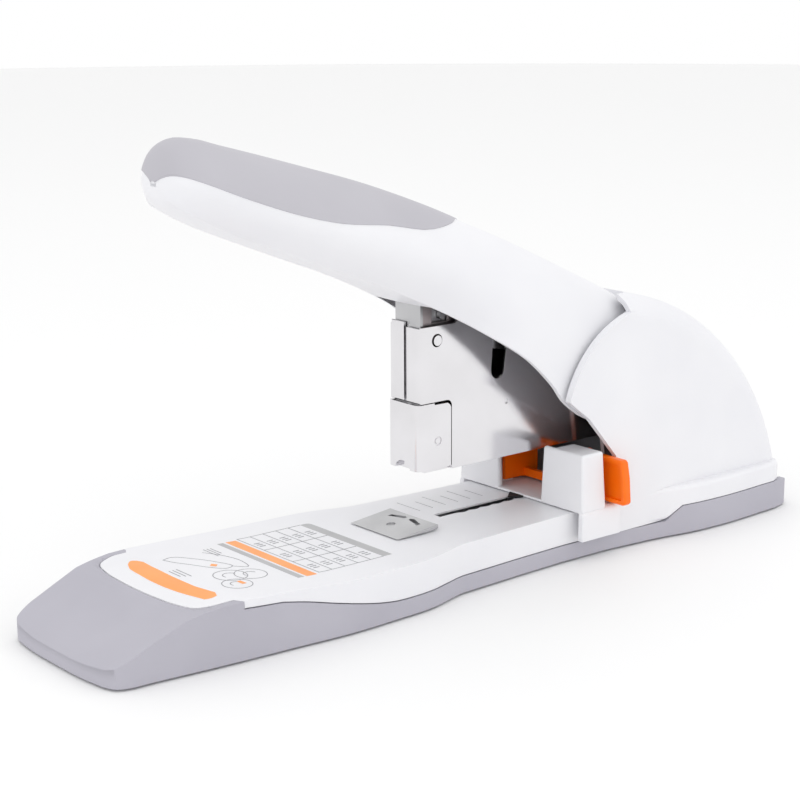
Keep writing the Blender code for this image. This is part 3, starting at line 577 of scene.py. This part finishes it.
def makeTray():
    tray = prismObject("baseTray", baseRing(0.0, -1.0, 300.0), 0.8, 24.0, "Z")
    side = ([(-5.0, -5.0), (-5.0, 4.4)] + smoothLine([(0.0, 5.2), (9.0, 9.8), (25.0, 16.5)], 3)
            + smoothLine([(26.0, 16.8), (30.5, 17.6), (37.5, 18.4)], 3)
            + [(43.5, 18.4), (43.5, 16.1)]
            + smoothLine([(57.0, 15.3), (66.0, 13.5), (73.5, 11.6), (84.0, 9.1), (92.0, 7.4),
                          (99.0, 6.4), (106.0, 6.2)], 3)
            + [(223.0, 6.2)] + smoothLine([(223.6, 6.3), (227.0, 8.6), (230.6, 10.7)], 3)
            + [(231.5, 10.8)]
            + smoothLine([(284.0, 10.8), (287.6, 10.2), (289.8, 8.2), (290.9, 5.0), (291.8, 0.8)],
                         3)
            + [(291.9, -5.0)])
    carve(tray, prismObject("trayProfile", side, -60, 60), "INTERSECT")
    softEdges(tray, baseSet["trayEdge"], 4, 38)
    applied(tray)
    carve(tray, prismObject("trayPan", baseRing(baseSet["wall"], 47.0, 289.5), 2.4, 30, "Z"))
    recess = smoothLine([(x - 0.25, y * 1.012) for x, y in coverFront], 4)
    carve(tray, prismObject("coverRecess", recess + [(50, 29.5), (50, -29.5)], 15.3, 30, "Z"))
    under = [(16, -2), (16, 9), (27, 13.2), (44.5, 13.2), (44.5, -2)]
    carve(tray, prismObject("noseHollow", under, -25, 25))
    for x, y in ((66, 20), (66, -20), (276, 19), (276, -19)):
        hole = arcPoints((x, y), baseSet["screwHole"], 0, 345, 24)
        carve(tray, prismObject("screwHole", hole, -2, 6, "Z"))
    tray.data.shade_smooth()
    tray.data.set_sharp_from_angle(angle=math.radians(32))
    dress(tray, "base", greyShell, ["base_tray"])


def makeCover():
    sides = baseRing(0.3, 43.8, 199.5)
    front = smoothLine(coverFront, 5)
    outline = front[1:-1] + [p for p in sides if p[1] > 0] + [p for p in sides if p[1] < 0]
    cover = prismObject("baseCover", outline, 0, 30, "Z")
    side = deckLine + [(201.5, 16.8), (201.5, 6.5)]
    side += list(reversed(smoothLine([(57.0, 15.6), (66.0, 13.8), (73.5, 11.9), (84.0, 9.4),
                                      (92.0, 7.7), (99.0, 6.7), (106.0, 6.5)], 3)))
    side += [(44.0, 16.4), (43.0, 15.6), (27.0, 15.6)]
    carve(cover, prismObject("coverProfile", side, -60, 60), "INTERSECT")
    softEdges(cover, baseSet["coverEdge"], 4, 50)
    applied(cover)
    carve(cover, prismObject("coverHollow", baseRing(2.4, 60, 198), -2, 15.0, "Z"))
    near = []
    first, last = baseSet["slot"]
    waveFrom, waveTo = baseSet["toothed"]
    for i in range(49):
        station = first + (last - first) * i / 48
        turn = math.pi * (station - waveFrom) / baseSet["toothPitch"]
        wave = abs(math.sin(turn)) if waveFrom < station < waveTo else 0
        near.append((station, -0.8 - baseSet["slotTooth"] * wave))
    pocket = [(143.0, -4.5), (193.0, -4.5), (193.0, 6.5), (143.0, 6.5)]
    carve(cover, prismObject("slotPocket", pocket, 0, 16.2, "Z"))
    slot = near + [(191.5, 2.8), (145.1, 2.8), (144.5, 2.2)]
    carve(cover, prismObject("guideSlot", slot, 0, 30, "Z"))
    hole = [(118.5, -9.5), (132.4, -9.5), (132.4, 9.5), (118.5, 9.5)]
    carve(cover, prismObject("anvilHole", hole, 0, 30, "Z"))
    cover.data.shade_smooth()
    cover.data.set_sharp_from_angle(angle=math.radians(32))
    dress(cover, "base", whiteShell, ["base_cover"])


# tilted plate with a pair of hooked clinch pockets pressed into it
def makeAnvil():
    side = [(116.8, 17.15), (133.9, 18.95), (133.9, 17.65), (130.0, 17.15)]
    plate = softEdges(prismObject("anvilPlate", side, -12.3, 12.3), 0.2, 2)
    applied(plate)
    for turn in (1, -1):
        groove = [(131.6, 0.9 * turn), (132.2, 2.2 * turn), (130.4, 7.4 * turn),
                  (128.8, 7.4 * turn), (129.6, 5.2 * turn), (130.6, 1.2 * turn)]
        if turn < 0:
            groove.reverse()
        tool = prismObject("pocket", groove, 17.4, 20.0, "Z")
        carve(plate, tool)
    ring = arcPoints((124.6, 0.6), 1.5, 0, 345, 24)
    carve(plate, prismObject("dimple", ring, 17.6, 19.0, "Z"))
    dress(plate, "base", zincSteel, ["anvil_plate"])


makeTray()
makeCover()
makeAnvil()
print("base made")


# ---- printed labels

# a band's film is thicker than the ink, so ink under a band is hidden
labelSet = {"film": 0.06, "ink": 0.05, "line": 0.28, "fineLine": 0.25, "overrun": 0.9,
            "step": 3, "tableFirst": 78.6, "rows": 5, "rowPitch": 5.0, "left": -21.4,
            "right": 21.8, "scaleFirst": 144.0, "scalePitch": 5.6, "scaleMarks": 6}


# film of the outline laid on the deck, following its slope
def onDeck(bm, outline, lift=0.0, thick=None):
    thick = thick or labelSet["film"]
    film = bmesh.new()
    prism(film, outline, 0, thick, "Z")
    low, high = min(p[0] for p in outline), max(p[0] for p in outline)
    step = low + labelSet["step"]
    while step < high:
        bmesh.ops.bisect_plane(film, geom=film.verts[:] + film.edges[:] + film.faces[:],
                               dist=1e-7, plane_co=spot(step, 0, 0), plane_no=(1, 0, 0))
        step += labelSet["step"]
    for vert in film.verts:
        station = vert.co.x * 1000 + bodyLength / 2
        vert.co.z += (deckAt(station) + lift) / 1000
    mesh = bpy.data.meshes.new("film")
    film.to_mesh(mesh)
    film.free()
    bm.from_mesh(mesh)
    bpy.data.meshes.remove(mesh)


# thin printed line along the points
def stroke(bm, points, width=None):
    half = (width or labelSet["line"]) / 2
    for a, b in zip(points, points[1:]):
        run = Vector((b[0] - a[0], b[1] - a[1])).normalized() * half
        side = Vector((-run.y, run.x))
        a2, b2 = (Vector(a) - run * labelSet["overrun"], Vector(b) + run * labelSet["overrun"])
        onDeck(bm, [tuple(a2 - side), tuple(b2 - side), tuple(b2 + side), tuple(a2 + side)],
               0.0, labelSet["ink"])


def bandAcross(first, last, left, right, slant=0.0):
    return [(first, left), (last, left), (last + slant, right), (first + slant, right)]


def makeLabels():
    left, right = labelSet["left"], labelSet["right"]
    first, pitch, rows = labelSet["tableFirst"], labelSet["rowPitch"], labelSet["rows"]
    last = first + pitch * rows
    grey = bmesh.new()
    head = arcPoints((last + 1.6, right - 1.8), 1.8, 0, 90, 6)
    onDeck(grey, [(last, left), (last + 3.4, left)] + head + [(last, right)])
    onDeck(grey, bandAcross(70.0, 72.2, -22.6, 20.6, 0.2))
    orange = bmesh.new()
    onDeck(orange, bandAcross(73.2, 77.0, -22.6, 20.8, 0.3))
    front = [(36.3, -22.9), (37.4, -23.5), (40.6, -22.9)]
    back = [(40.3, -12.0), (40.2, 0.0), (40.6, 12.0), (40.2, 19.6), (38.8, 20.8), (36.2, 18.4)]
    inner = [(34.2, 8.0), (33.7, -2.0), (34.3, -12.0)]
    onDeck(orange, smoothLine(front + back + inner + front[:1], 3)[:-1])
    ink = bmesh.new()
    for i in range(rows):
        stroke(ink, [(first + pitch * i, left), (first + pitch * i, right)])
    for y in (left, left + 13.5, left + 28.5, right):
        stroke(ink, [(first, y), (last, y)])
    for row in range(rows):
        middle = first + pitch * (row + 0.5)
        for y in (left + 6.5, left + 20.5, left + 34.5):
            for k in (-1, 0, 1):
                stroke(ink, [(middle - 0.9, y + k * 1.6 - 0.3), (middle + 0.9, y + k * 1.6 - 0.3)],
                       0.5)
    makeSketch(ink, orange)
    for k in range(labelSet["scaleMarks"]):
        station = labelSet["scaleFirst"] + labelSet["scalePitch"] * k
        stroke(ink, [(station, 9.0), (station, 21.0 - (k % 2) * 3)], 0.22)
    for name, bm, slot, material in (("labelGrey", grey, "grey_plastic", printGrey),
                                     ("labelOrange", orange, "orange_plastic", printOrange),
                                     ("labelInk", ink, "grey_plastic", printInk)):
        bmesh.ops.recalc_face_normals(bm, faces=bm.faces)
        dress(meshObject(name, bm), "base", material)


# plain line drawing of a raised handle, three round views and a few note lines
def makeSketch(ink, orange):
    body = smoothLine([(46.5, 15.0), (50.0, 16.0), (55.0, 11.0), (59.0, 4.0), (60.5, -2.0),
                       (57.5, -3.0), (54.5, 0.0), (51.0, 6.0), (47.5, 12.0), (46.5, 15.0)], 4)
    stroke(ink, body, labelSet["fineLine"])
    arm = smoothLine([(61.0, 15.0), (64.5, 9.0), (66.0, 1.0), (64.0, -5.0), (60.5, -2.0)], 4)
    stroke(ink, arm, labelSet["fineLine"])
    for center, radius in (((54.5, -9.5), 5.2), ((51.5, -17.5), 4.6), ((60.5, -11.5), 5.0)):
        stroke(ink, arcPoints(center, radius, 0, 360, 28), labelSet["fineLine"])
        stroke(ink, arcPoints(center, radius * 0.45, 20, 200, 10), labelSet["fineLine"])
    for start, count in (((63.0, 17.5), 3), ((44.6, 4.5), 3)):
        for k in range(count):
            x = start[0] + (1.3 * k if start[0] > 50 else -1.3 * k)
            stroke(ink, [(x, start[1]), (x, start[1] - 8.0 + k)], 0.3)
    onDeck(orange, [(55.0, 2.0), (56.4, 3.4), (57.6, 1.8), (56.2, 0.4)], 0.02)
    onDeck(orange, [(52.6, -18.6), (54.0, -18.6), (54.0, -15.6), (52.6, -15.6)], 0.02)


printGrey = mouldedPlastic("printGrey", {
    "colors": [(0.42, 0.42, 0.43), (0.46, 0.46, 0.47)], "driftScale": 80, "glossScale": 200,
    "roughness": (0.35, 0.45), "grainScale": 2600, "grain": 0.05, "specular": 0.5})
printOrange = mouldedPlastic("printOrange", {
    "colors": [(0.95, 0.33, 0.07), (0.98, 0.37, 0.09)], "driftScale": 80, "glossScale": 200,
    "roughness": (0.35, 0.45), "grainScale": 2600, "grain": 0.05, "specular": 0.5})
printInk = mouldedPlastic("printInk", {
    "colors": [(0.26, 0.26, 0.28), (0.32, 0.32, 0.34)], "driftScale": 80, "glossScale": 200,
    "roughness": (0.4, 0.5), "grainScale": 2600, "grain": 0.05, "specular": 0.4})
makeLabels()
print("labels made")


# ---- stapling head

headSet = {"half": 7.6, "plate": 0.8, "pivot": (263.5, 42.0), "front": 130.7, "bend": 2.0,
           "noseFront": 129.2, "edge": 0.22, "stud": (137.8, 45.2), "nearTop": 82.6,
           "farTop": 84.0}


def plateOutline():
    rear = arcPoints(headSet["pivot"], 7.6, 60, -95, 20)
    top = smoothLine([(148.5, 86.0), (161.0, 86.0), (173.0, 80.0), (214.0, 75.0),
                      (234.0, 68.0), (246.0, 65.5)], 2)
    corner = arcPoints((141.7, 56.2), 2.0, 90, 0, 5)
    return ([(headSet["front"], 58.2), (headSet["front"], 83.0), (145.0, 83.0)] + top + rear
            + [(258.0, 35.0), (143.7, 35.0)] + [(x, z) for x, z in reversed(corner)])


def makePlate(name, sign, node):
    inner, outer = headSet["half"] - headSet["plate"], headSet["half"]
    low, high = sorted((sign * inner, sign * outer))
    plate = prismObject(name, plateOutline(), low, high)
    flangeTop = headSet["nearTop"] if sign < 0 else headSet["farTop"]
    flange = [(130.4, sign * 0.6), (131.2, sign * 0.6), (131.2, sign * (outer - 0.02)),
              (130.9, sign * (outer - 0.3)), (130.5, sign * (outer - 0.8)),
              (130.4, sign * (outer - 1.4))]
    ring = flange if sign > 0 else list(reversed(flange))
    carve(plate, prismObject("flange", ring, 58.5, flangeTop, "Z"), "UNION")
    slot = arcPoints((165.0, 78.2), 3.3, 0, 180, 15) + arcPoints((163.6, 65.0), 2.9, 180, 360, 12)
    wide = low - 1, high + 1
    carve(plate, prismObject("slot", slot, *wide))
    for center, radius in ((headSet["pivot"], 3.1), ((240.0, 62.0), 2.6), ((228.0, 49.0), 2.1),
                           ((137.4, 78.3), 2.15)):
        carve(plate, prismObject("hole", arcPoints(center, radius, 0, 345, 24), *wide))
    window = (arcPoints((214.0, 44.3), 5.0, 180, 360, 15)
              + arcPoints((214.2, 50.4), 5.0, 0, 180, 15))
    carve(plate, prismObject("window", window, *wide))
    dent = prismObject("dent", arcPoints((167.6, 53.9), 0.9, 0, 345, 16),
                       *sorted((sign * (outer - 0.45), sign * (outer + 1))))
    carve(plate, dent)
    softEdges(plate, headSet["edge"], 2, 40)
    dress(plate, "head", brightPlate, [node])


def makeNose():
    outer, inner = headSet["half"], headSet["half"] - headSet["plate"]
    front, bend, stud = headSet["noseFront"], headSet["bend"], headSet["stud"]
    ring = (arcPoints((front + bend, -outer + bend), bend, 180, 270, 8)
            + [(143.4, -outer), (143.4, -inner), (131.2, -inner), (131.2, inner),
               (143.4, inner), (143.4, outer)]
            + arcPoints((front + bend, outer - bend), bend, 90, 180, 8))
    nose = prismObject("noseBlock", ring, 36.0, 57.9, "Z")
    step = [(136.4, 60.0), (143.6, 60.0), (143.6, 55.4), (142.9, 56.6), (141.9, 57.3),
            (136.4, 57.3)]
    carve(nose, prismObject("topStep", step, -9, 9))
    notch = arcPoints((0.0, 36.0), 3.6, 0, 180, 18)
    notch = [(y, 36.0 + (z - 36.0) * 0.75) for y, z in notch]
    carve(nose, prismObject("notch", [(-3.6, 34.0), (3.6, 34.0)] + notch, 128.0, 131.0, "X"))
    for sign in (-1, 1):
        reach = sorted((sign * (outer - 0.4), sign * (outer + 1)))
        carve(nose, prismObject("dent", arcPoints(stud, 1.5, 0, 345, 20), *reach))
        reach = sorted((sign * (outer - 0.5), sign * (outer - 0.05)))
        carve(nose, prismObject("stud", arcPoints(stud, 1.0, 0, 345, 20), *reach), "UNION")
    softEdges(nose, 0.2, 2, 40)
    dress(nose, "head", brightPlate, ["nose_block"])


def makeDriver():
    channel = [(132.9, -5.4), (146.5, -5.4), (146.5, -4.4), (134.1, -4.4), (134.1, 4.4),
               (146.5, 4.4), (146.5, 5.4), (132.9, 5.4)]
    driver = prismObject("driverBlock", channel, 66.0, 103.0, "Z")
    carve(driver, prismObject("linkSlot", [(137.0, 83.6), (144.0, 83.6), (144.0, 88.4),
                                           (137.0, 88.4)], -8, 8))
    for first in (137.2, 141.6):
        window = [(first, 90.0), (first + 2.6, 90.0), (first + 2.6, 95.6), (first, 95.6)]
        carve(driver, prismObject("window", window, -8, 8))
    softEdges(driver, 0.3, 2, 40)
    dress(driver, "driver", darkSteel, ["driver_block"])


makePlate("sidePlateNear", -1, "side_plate_near")
makePlate("sidePlateFar", 1, "side_plate_far")
makeNose()
makeDriver()
print("head made")


# ---- paper guide and its release

guideSet = {"front": 180.9, "back": 199.0, "towerTop": 37.0, "towerFoot": 17.2, "lean": 0.9,
            "edge": 1.6}


def makeGuide():
    saddle = [(-30.9, 7.5), (-30.9, 16.2), (-30.4, 17.4), (-29.2, 18.0), (29.2, 18.0),
              (30.4, 17.4), (30.9, 16.2), (30.9, 7.5), (28.7, 7.5), (28.7, 17.1),
              (-28.7, 17.1), (-28.7, 7.5)]
    guide = prismObject("paperGuide", saddle, guideSet["front"], guideSet["back"], "X")
    softEdges(guide, 0.4, 2, 60)
    applied(guide)
    for sign in (-1, 1):
        rings = []
        for z, lean in ((guideSet["towerFoot"], 0.0), (guideSet["towerTop"], guideSet["lean"])):
            ring = [(guideSet["front"] + lean * 0.5, 10.3 + lean), (183.2, 10.3 + lean),
                    (183.2, 14.6 + lean), (192.2 - lean, 14.6 + lean), (192.2 - lean, 30.7 - lean),
                    (guideSet["front"] + lean * 0.5, 30.7 - lean)]
            rings.append([spot(x, sign * y, z) for x, y in (ring if sign > 0 else ring[::-1])])
        bm = bmesh.new()
        loftRings(bm, rings)
        tower = softEdges(meshObject("tower", bm), guideSet["edge"], 4, 40)
        applied(tower)
        carve(guide, tower, "UNION")
    guide.data.shade_smooth()
    guide.data.set_sharp_from_angle(angle=math.radians(35))
    dress(guide, "guide", whiteShell, ["paper_guide"])


releaseSet = {"front": 194.6, "back": 197.8, "dishDepth": 0.9}


def makeRelease():
    front, back = releaseSet["front"], releaseSet["back"]
    web = [(186.2, 19.2), (201.7, 19.2), (201.7, 33.2), (186.2, 33.2)]
    bar = [(195.1, 19.2), (196.9, 19.2), (196.9, 22.0), (195.1, 22.0)]
    grip = prismObject("releaseGrip", bar, -13.2, 13.2)
    for sign in (-1, 1):
        ear = [(13.3, 18.6), (35.8, 18.6), (36.9, 19.6), (36.2, 28.0), (35.2, 33.2),
               (34.4, 34.0), (13.3, 34.0)]
        ear = [(sign * y, z) for y, z in (ear if sign > 0 else ear[::-1])]
        wing = softEdges(prismObject("ear", ear, front, back, "X"), 0.7, 3, 40)
        applied(wing)
        dish = [(23.0, 20.2), (34.9, 20.2), (35.3, 21.0), (34.3, 31.6), (33.7, 32.4),
                (23.0, 32.4)]
        dish = [(sign * y, z) for y, z in (dish if sign > 0 else dish[::-1])]
        carve(wing, prismObject("dish", dish, front - 1,
                                 front + releaseSet["dishDepth"], "X"))
        carve(grip, wing, "UNION")
        low, high = sorted((sign * 12.8, sign * 14.2))
        carve(grip, prismObject("web", web, low, high), "UNION")
    grip.data.shade_smooth()
    grip.data.set_sharp_from_angle(angle=math.radians(35))
    dress(grip, "release", orangeShell, ["release_grip"])


makeGuide()
makeRelease()
print("guide made")
